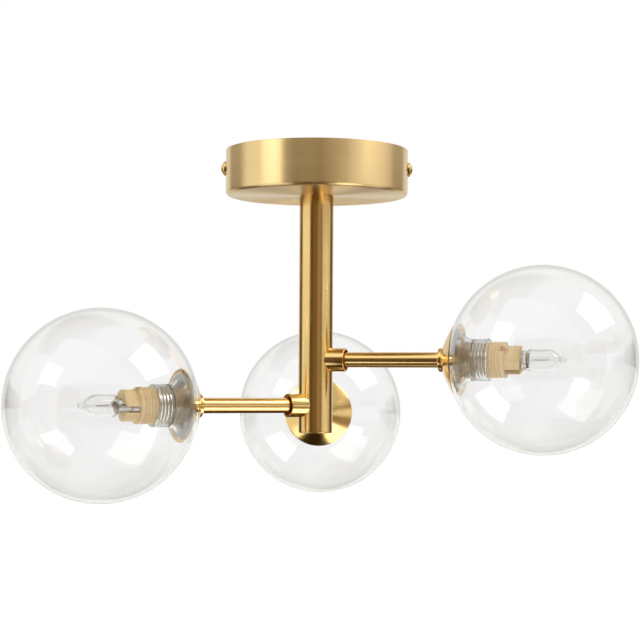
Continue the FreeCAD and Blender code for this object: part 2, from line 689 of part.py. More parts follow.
def arm_globe():
    """Blown ball of even wall whose mouth rolls inwards into a straight threaded neck."""
    outer, outer_pole, outer_neck = ball_outline(GLOBE_RADIUS, ROLL_OUTER, NECK_BORE_RADIUS)
    inner, inner_pole, inner_neck = ball_outline(
        GLOBE_RADIUS - GLASS_WALL, NECK_ROUND, NECK_OUTER_RADIUS)
    inner.reverse()
    return turned(outer + [line(outer_neck, inner_neck)] + inner + [line(inner_pole, outer_pole)])


# ---------------------------------------------------------------- bulb
def capsule_side(inset):
    """Shoulder and straight side of the capsule in section, a distance in from its outside."""
    radius = BULB_RADIUS - inset
    start = CAPSULE_START + inset
    shoulder_start = vec(start, radius - BULB_SHOULDER, 0)
    shoulder_end = vec(start + BULB_SHOULDER, radius, 0)
    shoulder_centre = vec(start + BULB_SHOULDER, radius - BULB_SHOULDER, 0)
    taper_start = vec(CAPSULE_START + BULB_STRAIGHT, radius, 0)
    edges = [
        line(vec(start, 0, 0), shoulder_start),
        centred_arc(shoulder_centre, shoulder_start, shoulder_end),
        line(shoulder_end, taper_start),
    ]
    return edges, vec(start, 0, 0), taper_start


def capsule():
    """The bulb's capsule with its pulled tip, solid."""
    side, start, taper_start = capsule_side(0)
    tip_start = vec(taper_start.x + BULB_TAPER, BULB_TIP_RADIUS, 0)
    tip_end = tip_start.x + BULB_TIP_LENGTH
    tip = [ogive_arc(taper_start, tip_start), dome_arc(tip_start, tip_end)]
    return turned(side + tip + [line(vec(tip_end, 0, 0), start)])


def capsule_hollow():
    """The room inside the capsule, which stops short of the tip."""
    side, start, taper_start = capsule_side(BULB_WALL)
    end = vec(taper_start.x + BULB_TAPER - BULB_WALL, BULB_TIP_RADIUS / 2, 0)
    foot = vec(end.x, 0, 0)
    return turned(side + [ogive_arc(taper_start, end), line(end, foot), line(foot, start)])


def arm_bulb_glass():
    """Quartz capsule on a flat pinch that sits in the lampholder's slot."""
    joined = CAPSULE_START + BULB_WALL / 2
    pinch = block(PINCH_START, joined, -PINCH_WIDTH / 2, PINCH_WIDTH / 2,
                  -PINCH_THICKNESS / 2, PINCH_THICKNESS / 2)
    long_edges = [e for e in pinch.Edges if e.BoundBox.XLength > NOSE_LENGTH]
    pinch = pinch.makeFillet(PINCH_EDGE, long_edges)
    neck = x_rod(NOSE_END + MOVING_GAP, joined, BULB_NECK_RADIUS)
    return capsule().fuse([pinch, neck]).cut(capsule_hollow())


def arm_bulb_pins():
    """Two flat wire loops below the pinch."""
    pins = []
    for side in (-1, 1):
        y = side * PIN_PITCH / 2
        pin = block(PIN_START, PINCH_START, y - PIN_WIDTH / 2, y + PIN_WIDTH / 2,
                    -PIN_THICKNESS / 2, PIN_THICKNESS / 2)
        tip = [e for e in pin.Edges
               if e.BoundBox.XMax < PINCH_START - PIN_LENGTH / 2
               and e.BoundBox.ZLength > PIN_THICKNESS / 2]
        pins.append(pin.makeFillet(PIN_TIP_ROUND, tip))
    return Part.makeCompound(pins)


def arm_bulb_filament():
    """Wire that rises from the pinch, runs through the coil on the bulb's axis and returns."""
    floor = CAPSULE_START + BULB_WALL
    near = floor + FILAMENT_STANDOFF
    far = near + FILAMENT_LENGTH
    coil = x_rod(near + FILAMENT_END, far - FILAMENT_END, FILAMENT_RADIUS)
    coil = coil.cut(x_rod(0, BEAM, FILAMENT_WIRE_RADIUS + FIT_GAP))
    offset = FILAMENT_WIRE_OFFSET
    corners = [vec(floor, -offset, 0), vec(near, -offset, 0), vec(near, 0, 0),
               vec(far, 0, 0), vec(far, offset, 0), vec(floor, offset, 0)]
    wire = swept_round(rounded_path(corners, FILAMENT_WIRE_BEND), FILAMENT_WIRE_RADIUS)
    return Part.makeCompound([coil, wire])


# ---------------------------------------------------------------- leads
def lead(bearing, depth, pole_x):
    """One arm's lead: from the contacts through the arm, up the stem, to its terminal."""
    along = vec(math.cos(math.radians(bearing)), math.sin(math.radians(bearing)), 0)
    riser = along * LEAD_OFFSET
    low = vec(0, 0, -depth)
    high = vec(0, 0, BARREL_Z)
    corners = [along * (CONTACT_START - MOVING_GAP) + low, riser + low, riser + high]
    if abs(pole_x - riser.x) > LEAD_RADIUS:
        corners.append(vec(pole_x, BLOCK_FRONT - LEAD_STRAIGHTEN, BARREL_Z))
        corners.append(vec(pole_x, BLOCK_FRONT + LEAD_ENTRY, BARREL_Z))
    else:
        corners.append(vec(riser.x, BLOCK_FRONT + LEAD_ENTRY, BARREL_Z))
    return swept_round(rounded_path(corners, LEAD_BEND), LEAD_RADIUS)


LEAD_POLES = {"right": POLE_PLACES[2], "left": POLE_PLACES[0], "rear": POLE_PLACES[1]}

# ---------------------------------------------------------------- the nodes
CEILING_PIECES = {
    "ceiling_bracket": ceiling_bracket,
    "canopy": canopy,
    "canopy_screws": canopy_screws,
    "terminal_block": terminal_block,
    "terminal_barrels": terminal_barrels,
    "terminal_screws": terminal_screws,
    "block_screw": block_screw,
    "earth_screw": earth_screw,
    "stem_nipple": stem_nipple,
    "stem_washer": stem_washer,
    "stem_nut": stem_nut,
    "stem_bush": stem_bush,
    "stem_tube": stem_tube,
    "stem_end_cap": stem_end_cap,
}

# Pieces of one arm, and whether they turn with the lampholder's slot.
ARM_PIECES = {
    "collar": (arm_collar, False),
    "arm_tube": (arm_tube, False),
    "arm_ring": (arm_ring, False),
    "cup": (arm_cup, False),
    "cup_nut": (arm_cup_nut, False),
    "holder_base": (arm_holder_base, False),
    "lampholder": (arm_lampholder, True),
    "contacts": (arm_contacts, True),
    "seal": (arm_seal, False),
    "globe": (arm_globe, False),
    "bulb_glass": (arm_bulb_glass, True),
    "bulb_pins": (arm_bulb_pins, True),
    "bulb_filament": (arm_bulb_filament, True),
}


def placed_on_arm(shape, bearing, depth, turn):
    """Turn about the arm's axis, swing to the arm's bearing and lower to its height."""
    placed = shape.copy()
    placed.rotate(vec(0, 0, 0), X_DIR, turn)
    placed.rotate(vec(0, 0, 0), Z_DIR, bearing)
    placed.translate(vec(0, 0, -depth))
    return placed


def main():
    os.makedirs("parts", exist_ok=True)
    for name, make in CEILING_PIECES.items():
        make().exportStep("parts/" + name + ".step")
    for name, (make, turns) in ARM_PIECES.items():
        shape = make()
        for arm, (bearing, depth, holder_turn) in ARMS.items():
            placed = placed_on_arm(shape, bearing, depth, holder_turn if turns else 0.0)
            placed.exportStep("parts/" + arm + "_" + name + ".step")
    for arm, (bearing, depth, _) in ARMS.items():
        lead(bearing, depth, LEAD_POLES[arm]).exportStep("parts/" + arm + "_lead.step")


main()
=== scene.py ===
"""Looks of the semi flush ceiling light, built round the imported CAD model. Lengths are in mm
along each arm's own axis and are scaled to metres when a piece is placed."""
import json
import math

import bmesh
import bpy
from mathutils import Matrix, Vector

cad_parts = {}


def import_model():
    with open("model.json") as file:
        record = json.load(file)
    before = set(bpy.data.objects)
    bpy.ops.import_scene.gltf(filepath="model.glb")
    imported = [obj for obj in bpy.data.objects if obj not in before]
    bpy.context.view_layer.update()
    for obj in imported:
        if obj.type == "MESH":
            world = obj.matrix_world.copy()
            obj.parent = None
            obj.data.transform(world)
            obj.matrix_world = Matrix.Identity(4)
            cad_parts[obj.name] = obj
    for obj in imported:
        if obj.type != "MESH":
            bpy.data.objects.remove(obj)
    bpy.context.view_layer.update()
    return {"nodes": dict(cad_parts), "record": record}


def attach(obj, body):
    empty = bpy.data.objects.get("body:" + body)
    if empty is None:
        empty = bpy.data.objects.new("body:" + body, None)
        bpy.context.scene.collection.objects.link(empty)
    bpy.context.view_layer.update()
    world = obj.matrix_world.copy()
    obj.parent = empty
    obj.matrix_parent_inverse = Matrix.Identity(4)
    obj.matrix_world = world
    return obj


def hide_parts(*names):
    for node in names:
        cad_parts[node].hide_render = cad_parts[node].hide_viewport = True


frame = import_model()
NODES = frame["nodes"]

MM = 0.001
TAU = 2 * math.pi

# Arms: bearing, depth below the ceiling, turn of the lampholder, as in the CAD model.
ARMS = {
    "right": (-17.5, 138.0, 52.0),
    "left": (209.0, 168.0, -15.0),
    "rear": (88.8, 174.0, 30.0),
}

# Sizes: the CAD model's, and the small edges that only this script rounds.
CANOPY_RADIUS = 60.0
CANOPY_HEIGHT = 30.0
CANOPY_WALL = 1.2
CANOPY_EDGE = 2.5
CANOPY_RIM_EDGE = 0.15
CANOPY_HOLE = 5.1
CANOPY_FLOOR_RING = 30.0     # points part-way across the wide floor
STEM_RADIUS = 11.25
STEM_WALL = 1.5
STEM_BOTTOM = 186.0
STEM_CAP = 1.2
STEM_CAP_EDGE = 0.6
STEM_EDGE = 0.12
ARM_RADIUS = 5.0
ARM_BORE = 4.0
ARM_START = 11.35
ARM_END = 98.05
ARM_THREAD_BORE = 5.1        # of what screws on to the arm
COLLAR_RADIUS = 7.75
COLLAR_END = 20.8
COLLAR_RECESS = 6.6
COLLAR_RECESS_DEPTH = 5.5
COLLAR_EDGE = 0.35
COLLAR_RECESS_EDGE = 0.15
SADDLE_RINGS = 1.0           # rings nearer than this to the stem's axis are moved on to the stem
SADDLE_GAP = 0.03
RING_RADIUS = 7.75
RING_THICKNESS = 2.5
RING_EDGE = 0.5
CUP_BACK = 86.051
CUP_RIM = 94.851
CUP_RADIUS = 24.0
CUP_WALL = 1.0
CUP_BULGE = 0.5
CUP_RIM_START = 0.25         # where the softened rim begins, back from the rim
CUP_RIM_OUTER = (0.07, 0.15) # ring on the rim's outer side: back from the rim, in from the outside
CUP_RIM_TOP = 0.45           # the rim's highest ring, in from the outside
CUP_RIM_INNER = (0.05, 0.15) # ring on the rim's inner side: back from the rim, out from the inside
GLOBE_X = 150.0
GLOBE_RADIUS = 60.0
GLASS_WALL = 1.6
NECK_BORE = 12.0
ROLL_IN = 8.5
ROLL_X = 105.261
NECK_END = 116.061
NECK_EDGE = 0.35
SKIRT_START = 100.051
SKIRT_END = 127.061
SKIRT_RADIUS = 11.6
SKIRT_EDGE = 0.4
FLANGE = 1.7
FLANGE_EDGE = 0.25
HOLDER_BACK = 90.051
HOLDER_BASE_RADIUS = 10.8
HOLDER_BASE_BORE = 4.0
HOLDER_BASE_EDGE = 1.0
NOSE_END = 136.561
NOSE_RADIUS = 9.95
NOSE_FLAT = 8.1
NOSE_FLAT_TURN = 52.0
NOSE_EDGE = 0.5
NOSE_OVERLAP = 0.02          # of the nose into the skirt
SLOT_HALF = 2.15
VENT_RADIUS = 2.6
CAPSULE_START = 139.961
CAPSULE_RADIUS = 6.85
CAPSULE_WALL = 0.9
CAPSULE_SHOULDER = 2.0
CAPSULE_STRAIGHT = 13.0
CAPSULE_TAPER = 8.5
TIP_RADIUS = 1.5
TIP_LENGTH = 3.6
HOLLOW_TIP = 0.4
PINCH_START = 127.411
PINCH_HALF_WIDTH = 7.0
PINCH_HALF_THICKNESS = 1.8
PINCH_EDGE = 1.1
BULB_NECK_RADIUS = 4.3
BULB_NECK_GAP = 0.35

# Filament: finer than the CAD model's plain rod.
COIL_RADIUS = 0.38
COIL_WIRE_RADIUS = 0.11
COIL_TURNS = 22
COIL_STEPS = 14
COIL_INSET = 1.0             # of the coil's ends from the supports
FILAMENT_START = 3.0
FILAMENT_LENGTH = 10.0
SUPPORT_OFFSET = 2.4
SUPPORT_BEND = 0.6
SUPPORT_HOOK = (0.4, 0.5)    # where a support meets the coil: along and across the axis

# Thread between glass neck and lampholder: plain cylinders in the CAD model.
THREAD_PITCH = 2.25
THREAD_DEPTH = 0.85
THREAD_ROOT_WIDTH = 0.12     # share of the wave that stays at the root
THREAD_FLANK = 0.6           # share of the wave between root and crest
NECK_THREAD_RUN_IN = (-2.0, 0.5)     # from the roll's centre
NECK_THREAD_RUN_OUT = 0.9
SKIRT_THREAD_RUN_IN = 1.5
SKIRT_THREAD_RUN_OUT = 0.7

NEAR = 0.01                  # two lengths this close are the same


# ---------------------------------------------------------------- node helpers
def new_material(name):
    """An empty node material with its output and a Principled shader."""
    material = bpy.data.materials.new(name)
    material.use_nodes = True
    tree = material.node_tree
    return material, tree, tree.nodes["Principled BSDF"]


def connect(tree, made, inputs):
    """Sets a node's inputs; an input is a value or another node's socket."""
    for key, value in dict(inputs).items():
        socket = made.inputs[key]
        if isinstance(value, bpy.types.NodeSocket):
            tree.links.new(value, socket)
        else:
            socket.default_value = value


def node(tree, kind, inputs=(), **settings):
    """A node with its settings and inputs."""
    made = tree.nodes.new(kind)
    for key, value in settings.items():
        setattr(made, key, value)
    connect(tree, made, inputs)
    return made


def math_node(tree, operation, *values):
    """The result of a Math node."""
    made = node(tree, "ShaderNodeMath", dict(enumerate(values)), operation=operation)
    return made.outputs[0]


def ramp(tree, value, low, high, out_low=0.0, out_high=1.0):
    """value carried smoothly from low..high to out_low..out_high, clamped."""
    made = node(tree, "ShaderNodeMapRange",
                {"Value": value, "From Min": low, "From Max": high,
                 "To Min": out_low, "To Max": out_high}, interpolation_type="SMOOTHSTEP")
    return made.outputs["Result"]


def mix_colour(tree, factor, a, b):
    """A mix of two colours."""
    made = node(tree, "ShaderNodeMix", {0: factor, 6: a, 7: b}, data_type="RGBA")
    return made.outputs[2]


def noise(tree, vector, scale, detail=2.0, roughness=0.5):
    """A noise value."""
    made = node(tree, "ShaderNodeTexNoise",
                {"Vector": vector, "Scale": scale, "Detail": detail, "Roughness": roughness})
    return made.outputs[0]


def object_coordinates(tree):
    """A piece's own coordinates."""
    return node(tree, "ShaderNodeTexCoord").outputs["Object"]


def bump(tree, height, strength, distance):
    """A normal that follows a height."""
    made = node(tree, "ShaderNodeBump",
                {"Height": height, "Strength": strength, "Distance": distance})
    return made.outputs["Normal"]


def colour(r, g, b):
    return (r, g, b, 1.0)


# ---------------------------------------------------------------- materials
GOLD = colour(0.90, 0.64, 0.28)
GOLD_WARM = colour(0.83, 0.56, 0.21)
SATIN_GOLD = colour(0.93, 0.70, 0.37)
SATIN_GOLD_WARM = colour(0.89, 0.65, 0.31)
BRUSH_LENGTH_SHARE = 0.0008  # metres of grain for each radian round the canopy


def polished_brass():
    """Lacquered brass: clear reflections, slightly uneven roughness and hue."""
    material, tree, shader = new_material("polished_brass")
    where = object_coordinates(tree)
    cloud = noise(tree, where, 38.0, 3.0)
    fine = noise(tree, where, 900.0, 2.0)
    connect(tree, shader, {
        "Base Color": mix_colour(tree, cloud, GOLD, GOLD_WARM),
        "Metallic": 1.0,
        "Roughness": ramp(tree, cloud, 0.3, 0.7, 0.16, 0.22),
        "Coat Weight": 0.15,
        "Coat Roughness": 0.08,
        "Normal": bump(tree, fine, 0.03, 0.0002),
    })
    return material


def brushed_brass():
    """Brass brushed round the canopy's axis: fine rings that stretch each reflection."""
    material, tree, shader = new_material("brushed_brass")
    where = object_coordinates(tree)
    x, y, z = node(tree, "ShaderNodeSeparateXYZ", {0: where}).outputs
    radius = math_node(tree, "SQRT", math_node(
        tree, "ADD", math_node(tree, "MULTIPLY", x, x), math_node(tree, "MULTIPLY", y, y)))
    angle = math_node(tree, "ARCTAN2", y, x)
    along = math_node(tree, "MULTIPLY", angle, BRUSH_LENGTH_SHARE)
    across = math_node(tree, "SUBTRACT", radius, z)
    grain = node(tree, "ShaderNodeCombineXYZ", {0: across, 1: along, 2: 0.0}).outputs[0]
    streak = noise(tree, grain, 2600.0, 3.0, 0.65)
    broad = noise(tree, grain, 420.0, 2.0)
    uneven = math_node(tree, "ADD", streak, broad)
    tangent = node(tree, "ShaderNodeTangent", direction_type="RADIAL", axis="Z").outputs[0]
    connect(tree, shader, {
        "Base Color": mix_colour(tree, ramp(tree, streak, 0.25, 0.75), SATIN_GOLD_WARM, SATIN_GOLD),
        "Metallic": 1.0,
        "Roughness": ramp(tree, uneven, 0.7, 1.3, 0.30, 0.35),
        "Anisotropic": 0.95,
        "Anisotropic Rotation": 0.25,
        "Tangent": tangent,
        "Normal": bump(tree, streak, 0.09, 0.00005),
    })
    return material


def plain_metal(name, base, rough, scale):
    """Machined or plated metal with a cloudy finish."""
    material, tree, shader = new_material(name)
    cloud = noise(tree, object_coordinates(tree), scale, 4.0)
    dark = colour(*(0.8 * c for c in base[:3]))
    connect(tree, shader, {
        "Base Color": mix_colour(tree, cloud, base, dark),
        "Metallic": 1.0,
        "Roughness": ramp(tree, cloud, 0.3, 0.7, rough, rough + 0.15),
        "Normal": bump(tree, cloud, 0.05, 0.0002),
    })
    return material


def moulded(name, base, rough):
    """Moulded plastic or silicone: a faint mottle and a fine grain."""
    material, tree, shader = new_material(name)
    where = object_coordinates(tree)
    cloud = noise(tree, where, 120.0, 3.0)
    grain = noise(tree, where, 2400.0, 2.0)
    darker = colour(*(0.92 * c for c in base[:3]))
    connect(tree, shader, {
        "Base Color": mix_colour(tree, cloud, base, darker),
        "Roughness": ramp(tree, grain, 0.3, 0.7, rough, rough + 0.1),
        "Normal": bump(tree, grain, 0.06, 0.0001),
    })
    return material


def clear_glass(name, tint, ior, density):
    """Clear glass, hardly uneven, that greys where the eye looks along its wall."""
    material, tree, shader = new_material(name)
    wave = noise(tree, object_coordinates(tree), 22.0, 1.0)
    connect(tree, shader, {
        "Base Color": tint,
        "Roughness": 0.0,
        "IOR": ior,
        "Transmission Weight": 1.0,
        "Normal": bump(tree, wave, 0.02, 0.0006),
    })
    body = node(tree, "ShaderNodeVolumeAbsorption",
                {"Color": colour(0.50, 0.50, 0.50), "Density": density})
    connect(tree, tree.nodes["Material Output"], {"Volume": body.outputs[0]})
    return material


def translucent_silicone():
    """Milky seat ring."""
    material, tree, shader = new_material("clear_silicone")
    cloud = noise(tree, object_coordinates(tree), 300.0, 2.0)
    connect(tree, shader, {
        "Base Color": mix_colour(tree, cloud, colour(0.96, 0.96, 0.95), colour(0.91, 0.91, 0.90)),
        "Roughness": 0.18,
        "IOR": 1.41,
        "Transmission Weight": 0.4,
    })
    return material


MATERIALS = {
    "brushed_brass": brushed_brass(),
    "polished_brass": polished_brass(),
    "plain_brass": plain_metal("plain_brass", colour(0.55, 0.40, 0.16), 0.3, 300.0),
    "zinc_steel": plain_metal("zinc_steel", colour(0.50, 0.51, 0.52), 0.35, 260.0),
    "white_plastic": moulded("white_plastic", colour(0.80, 0.80, 0.77), 0.45),
    "cream_plastic": moulded("cream_plastic", colour(0.88, 0.65, 0.34), 0.34),
    "clear_silicone": translucent_silicone(),
    "clear_glass": clear_glass("clear_glass", colour(0.968, 0.968, 0.968), 1.48, 20.0),
    "quartz_glass": clear_glass("quartz_glass", colour(0.98, 0.98, 0.98), 1.46, 45.0),
    "nickel_wire": plain_metal("nickel_wire", colour(0.55, 0.53, 0.50), 0.25, 400.0),
    "tungsten_wire": plain_metal("tungsten_wire", colour(0.74, 0.73, 0.70), 0.3, 500.0),
    "lead_sleeve": moulded("lead_sleeve", colour(0.74, 0.73, 0.69), 0.5),
}


# ---------------------------------------------------------------- mesh helpers
def arc_points(centre, start, end, steps):
    """Points of the shorter arc from start to end round a centre, both ends included."""
    a0 = math.atan2(start[1] - centre[1], start[0] - centre[0])
    a1 = math.atan2(end[1] - centre[1], end[0] - centre[0])
    turn = (a1 - a0 + math.pi) % TAU - math.pi
    radius = math.dist(centre, start)
    return [(centre[0] + radius * math.cos(a0 + turn * k / steps),
             centre[1] + radius * math.sin(a0 + turn * k / steps)) for k in range(steps + 1)]


def round_corner(before, corner, after, radius, steps=6):
    """An arc of a given radius in place of a profile's corner."""
    back = (Vector(before) - Vector(corner)).normalized()
    ahead = (Vector(after) - Vector(corner)).normalized()
    half = back.angle(ahead) / 2
    start = Vector(corner) + back * radius / math.tan(half)
    end = Vector(corner) + ahead * radius / math.tan(half)
    centre = Vector(corner) + (back + ahead).normalized() * radius / math.sin(half)
    return arc_points(tuple(centre), tuple(start), tuple(end), steps)


def lathe(profile, segments, wave=None, closed=True):
    """Vertices and faces of a profile of (x, radius) points turned about the X axis."""
    verts = []
    rings = []
    for x, radius in profile:
        if radius < 1e-6:
            rings.append([len(verts)])
            verts.append((x, 0.0, 0.0))
            continue
        ring = []
        for k in range(segments):
            angle = TAU * k / segments
            dx, dr = wave(x, radius, angle) if wave else (0.0, 0.0)
            ring.append(len(verts))
            verts.append((x + dx, (radius + dr) * math.cos(angle), (radius + dr) * math.sin(angle)))
        rings.append(ring)
    faces = []
    pairs = list(zip(rings, rings[1:]))
    if closed:
        pairs.append((rings[-1], rings[0]))
    for a, b in pairs:
        if len(a) == 1 and len(b) == 1:
            continue
        for k in range(segments):
            n = (k + 1) % segments
            quad = [a[k % len(a)], a[n % len(a)], b[n % len(b)], b[k % len(b)]]
            face = list(dict.fromkeys(quad))
            faces.append(face)
    return verts, faces


def scene_object(name, data):
    """A new object in the scene."""
    made = bpy.data.objects.new(name, data)
    bpy.context.scene.collection.objects.link(made)
    return made


def mesh_object(name, verts, faces, material, sharp=34.0):
    """A smooth shaded mesh whose normals point out, with its hard edges kept hard."""
    mesh = bpy.data.meshes.new(name)
    mesh.from_pydata(verts, [], faces)
    mesh.validate()
    made = scene_object(name, mesh)
    outward(mesh)
    mesh.materials.append(MATERIALS[material])
    shade(mesh, sharp)
    return made


def shade(mesh, sharp):
    """Smooth shading, with edges of more than sharp degrees kept hard."""
    mesh.shade_smooth()
    mesh.set_sharp_from_angle(angle=math.radians(sharp))


def outward(mesh):
    """Makes a closed mesh's normals point out."""
    shape = bmesh.new()
    shape.from_mesh(mesh)
    bmesh.ops.recalc_face_normals(shape, faces=shape.faces)
    shape.to_mesh(mesh)
    shape.free()


def arm_matrix(arm, turned=False):
    """From an arm's own axis, in mm, to the part's frame, in metres."""
    bearing, depth, turn = ARMS[arm]
    spin = Matrix.Rotation(math.radians(turn if turned else 0.0), 4, "X")
    swing = Matrix.Rotation(math.radians(bearing), 4, "Z")
    return Matrix.Translation((0, 0, -depth * MM)) @ swing @ spin @ Matrix.Scale(MM, 4)


# Local X becomes the part's +Z.
UPRIGHT = Matrix.Rotation(math.radians(-90), 4, "Y") @ Matrix.Scale(MM, 4)


def place(made, matrix, body, material, *cad_nodes):
    """Puts a piece in the part's frame, on its body, in place of CAD nodes."""
    made.data.transform(matrix)
    made.data.update()
    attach(made, body)
    if cad_nodes:
        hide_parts(*cad_nodes)
    return made


def turned_piece(name, profile, material, segments=128, wave=None, closed=True, sharp=34.0):
    """A profile of (x, radius) points turned about the X axis."""
    verts, faces = lathe(profile, segments, wave, closed)
    return mesh_object(name, verts, faces, material, sharp)


def prism(name, outline, start, end, material, sharp=34.0):
    """A closed bar with an outline of (y, z) points, from start to end along X."""
    n = len(outline)
    verts = [(x, y, z) for x in (start, end) for y, z in outline]
    faces = [list(range(n)), list(range(n, 2 * n))]
    faces += [[k, (k + 1) % n, n + (k + 1) % n, n + k] for k in range(n)]
    return mesh_object(name, verts, faces, material, sharp)


def combine(target, others, operation):
    """Joins closed meshes to a piece, or takes them out of it, and deletes them."""
    for other in others:
        modifier = target.modifiers.new("combine", "BOOLEAN")
        modifier.operation = operation
        modifier.solver = "EXACT"
        modifier.object = other
    bake_modifiers(target)
    for other in others:
        bpy.data.objects.remove(other)


def bake_modifiers(target):
    """Turns a piece's modifiers into its mesh."""
    graph = bpy.context.evaluated_depsgraph_get()
    graph.update()
    baked = bpy.data.meshes.new_from_object(target.evaluated_get(graph))
    target.modifiers.clear()
    target.data = baked


# ---------------------------------------------------------------- canopy and stem
def canopy():
    """Spun drum with a rounded lower edge."""
    low = -CANOPY_HEIGHT
    floor = low + CANOPY_WALL
    inside = CANOPY_RADIUS - CANOPY_WALL
    edge = CANOPY_RIM_EDGE
    profile = [(-edge, CANOPY_RADIUS)]
    profile += round_corner((0, CANOPY_RADIUS), (low, CANOPY_RADIUS), (low, 0), CANOPY_EDGE, 10)
    profile += [(low, CANOPY_FLOOR_RING), (low, CANOPY_HOLE), (floor, CANOPY_HOLE)]
    profile += round_corner((floor, 0), (floor, inside), (0, inside), CANOPY_EDGE - CANOPY_WALL)
    profile += [(-edge, inside), (0.0, inside + edge), (0.0, CANOPY_RADIUS - edge)]
    made = turned_piece("canopy_shell", profile, "brushed_brass", 192)
    place(made, UPRIGHT, "fixed", "brushed_brass", "canopy")


def stem():
    """Plumb tube and the rounded disc that closes it."""
    inside = STEM_RADIUS - STEM_WALL
    edge = STEM_EDGE
    top = -CANOPY_HEIGHT
    bottom = -STEM_BOTTOM
    low = bottom + STEM_CAP
    profile = [(top, STEM_RADIUS - edge), (top - edge, STEM_RADIUS)]
    profile += [(low + edge, STEM_RADIUS), (low, STEM_RADIUS - edge), (low, inside), (top, inside)]
    made = turned_piece("stem_tube_shell", profile, "polished_brass")
    place(made, UPRIGHT, "fixed", "polished_brass", "stem_tube")
    profile = [(low, 0), (low, STEM_RADIUS - edge), (low - edge, STEM_RADIUS)]
    profile += round_corner((0, STEM_RADIUS), (bottom, STEM_RADIUS), (bottom, 0), STEM_CAP_EDGE)
    profile += [(bottom, 0)]
    made = turned_piece("stem_cap_disc", profile, "polished_brass")
    place(made, UPRIGHT, "fixed", "polished_brass", "stem_end_cap")


# ---------------------------------------------------------------- arms
def collar(arm):
    """Sleeve whose inner end follows the stem."""
    def saddle(x, radius, angle):
        if x > SADDLE_RINGS:
            return 0.0, 0.0
        side = radius * math.cos(angle)
        return math.sqrt((STEM_RADIUS + SADDLE_GAP) ** 2 - side ** 2) - x, 0.0

    recess_floor = COLLAR_END - COLLAR_RECESS_DEPTH
    profile = [(0.0, COLLAR_RADIUS)]
    profile += round_corner((0, COLLAR_RADIUS), (COLLAR_END, COLLAR_RADIUS),
                            (COLLAR_END, 0), COLLAR_EDGE)
    profile += round_corner((COLLAR_END, COLLAR_RADIUS), (COLLAR_END, COLLAR_RECESS),
                            (recess_floor, COLLAR_RECESS), COLLAR_RECESS_EDGE, 4)
    profile += [(recess_floor, COLLAR_RECESS), (recess_floor, ARM_THREAD_BORE)]
    profile += [(SADDLE_RINGS / 2, ARM_THREAD_BORE)]
    made = turned_piece(arm + "_collar_sleeve", profile, "polished_brass", 96, saddle)
    place(made, arm_matrix(arm), "fixed", "polished_brass", arm + "_collar")


def tube(arm):
    """Level tube of the arm."""
    profile = [(ARM_START, ARM_RADIUS), (ARM_END, ARM_RADIUS)]
    profile += [(ARM_END, ARM_BORE), (ARM_START, ARM_BORE)]
    made = turned_piece(arm + "_arm_shell", profile, "polished_brass", 96)
    place(made, arm_matrix(arm), "fixed", "polished_brass", arm + "_arm_tube")


def ring(arm):
    """Turned ring behind the cup, both its edges rounded."""
    back = CUP_BACK - RING_THICKNESS
    profile = [(back, ARM_THREAD_BORE)]
    profile += round_corner((back, 0), (back, RING_RADIUS), (CUP_BACK, RING_RADIUS), RING_EDGE)
    profile += round_corner((back, RING_RADIUS), (CUP_BACK, RING_RADIUS), (CUP_BACK, 0), RING_EDGE)
    profile += [(CUP_BACK, ARM_THREAD_BORE)]
    made = turned_piece(arm + "_ring_turned", profile, "polished_brass", 96)
    place(made, arm_matrix(arm), "fixed", "polished_brass", arm + "_arm_ring")


def cup_curve():
    """Centre and radius of the arc that the cup's outside follows."""
    hub = Vector((CUP_BACK, RING_RADIUS))
    rim = Vector((CUP_RIM, CUP_RADIUS))
    chord = rim - hub
    radius = ((chord.length / 2) ** 2 + CUP_BULGE ** 2) / (2 * CUP_BULGE)
    inward = Vector((chord.y, -chord.x)).normalized()
    return (hub + rim) / 2 + inward * (radius - CUP_BULGE), radius


def on_cup(x, inset):
    """Point of the cup's wall at x, inset from its outside."""
    centre, radius = cup_curve()
    return x, centre.y + math.sqrt((radius - inset) ** 2 - (x - centre.x) ** 2)


def cup(arm):
    """Spun cup with a softened rim."""
    centre = tuple(cup_curve()[0])
    hub = (CUP_BACK, RING_RADIUS)
    rim_start = on_cup(CUP_RIM - CUP_RIM_START, 0.0)
    inner_rim = on_cup(CUP_RIM - CUP_RIM_START, CUP_WALL)
    floor = CUP_BACK + CUP_WALL
    inner_hub = on_cup(floor, CUP_WALL)
    profile = [(CUP_BACK, ARM_THREAD_BORE)] + arc_points(centre, hub, rim_start, 24)
    profile += [(CUP_RIM - CUP_RIM_OUTER[0], CUP_RADIUS - CUP_RIM_OUTER[1]),
                (CUP_RIM, CUP_RADIUS - CUP_RIM_TOP),
                (CUP_RIM - CUP_RIM_INNER[0], inner_rim[1] + CUP_RIM_INNER[1])]
    profile += arc_points(centre, inner_rim, inner_hub, 24) + [(floor, ARM_THREAD_BORE)]
    made = turned_piece(arm + "_cup_spun", profile, "polished_brass", 160)
    place(made, arm_matrix(arm), "fixed", "polished_brass", arm + "_cup")


# ---------------------------------------------------------------- glass globe
def thread_wave(x, angle):
    """0 at the lampholder's root, 1 at its crest, on a right-hand screw."""
    phase = TAU * x / THREAD_PITCH - angle
    return 0.5 + 0.5 * math.cos(phase)


def fade(x, low, high):
    """0 up to low, 1 from high on, smooth between."""
    t = min(max((x - low) / (high - low), 0.0), 1.0)
    return t * t * (3 - 2 * t)


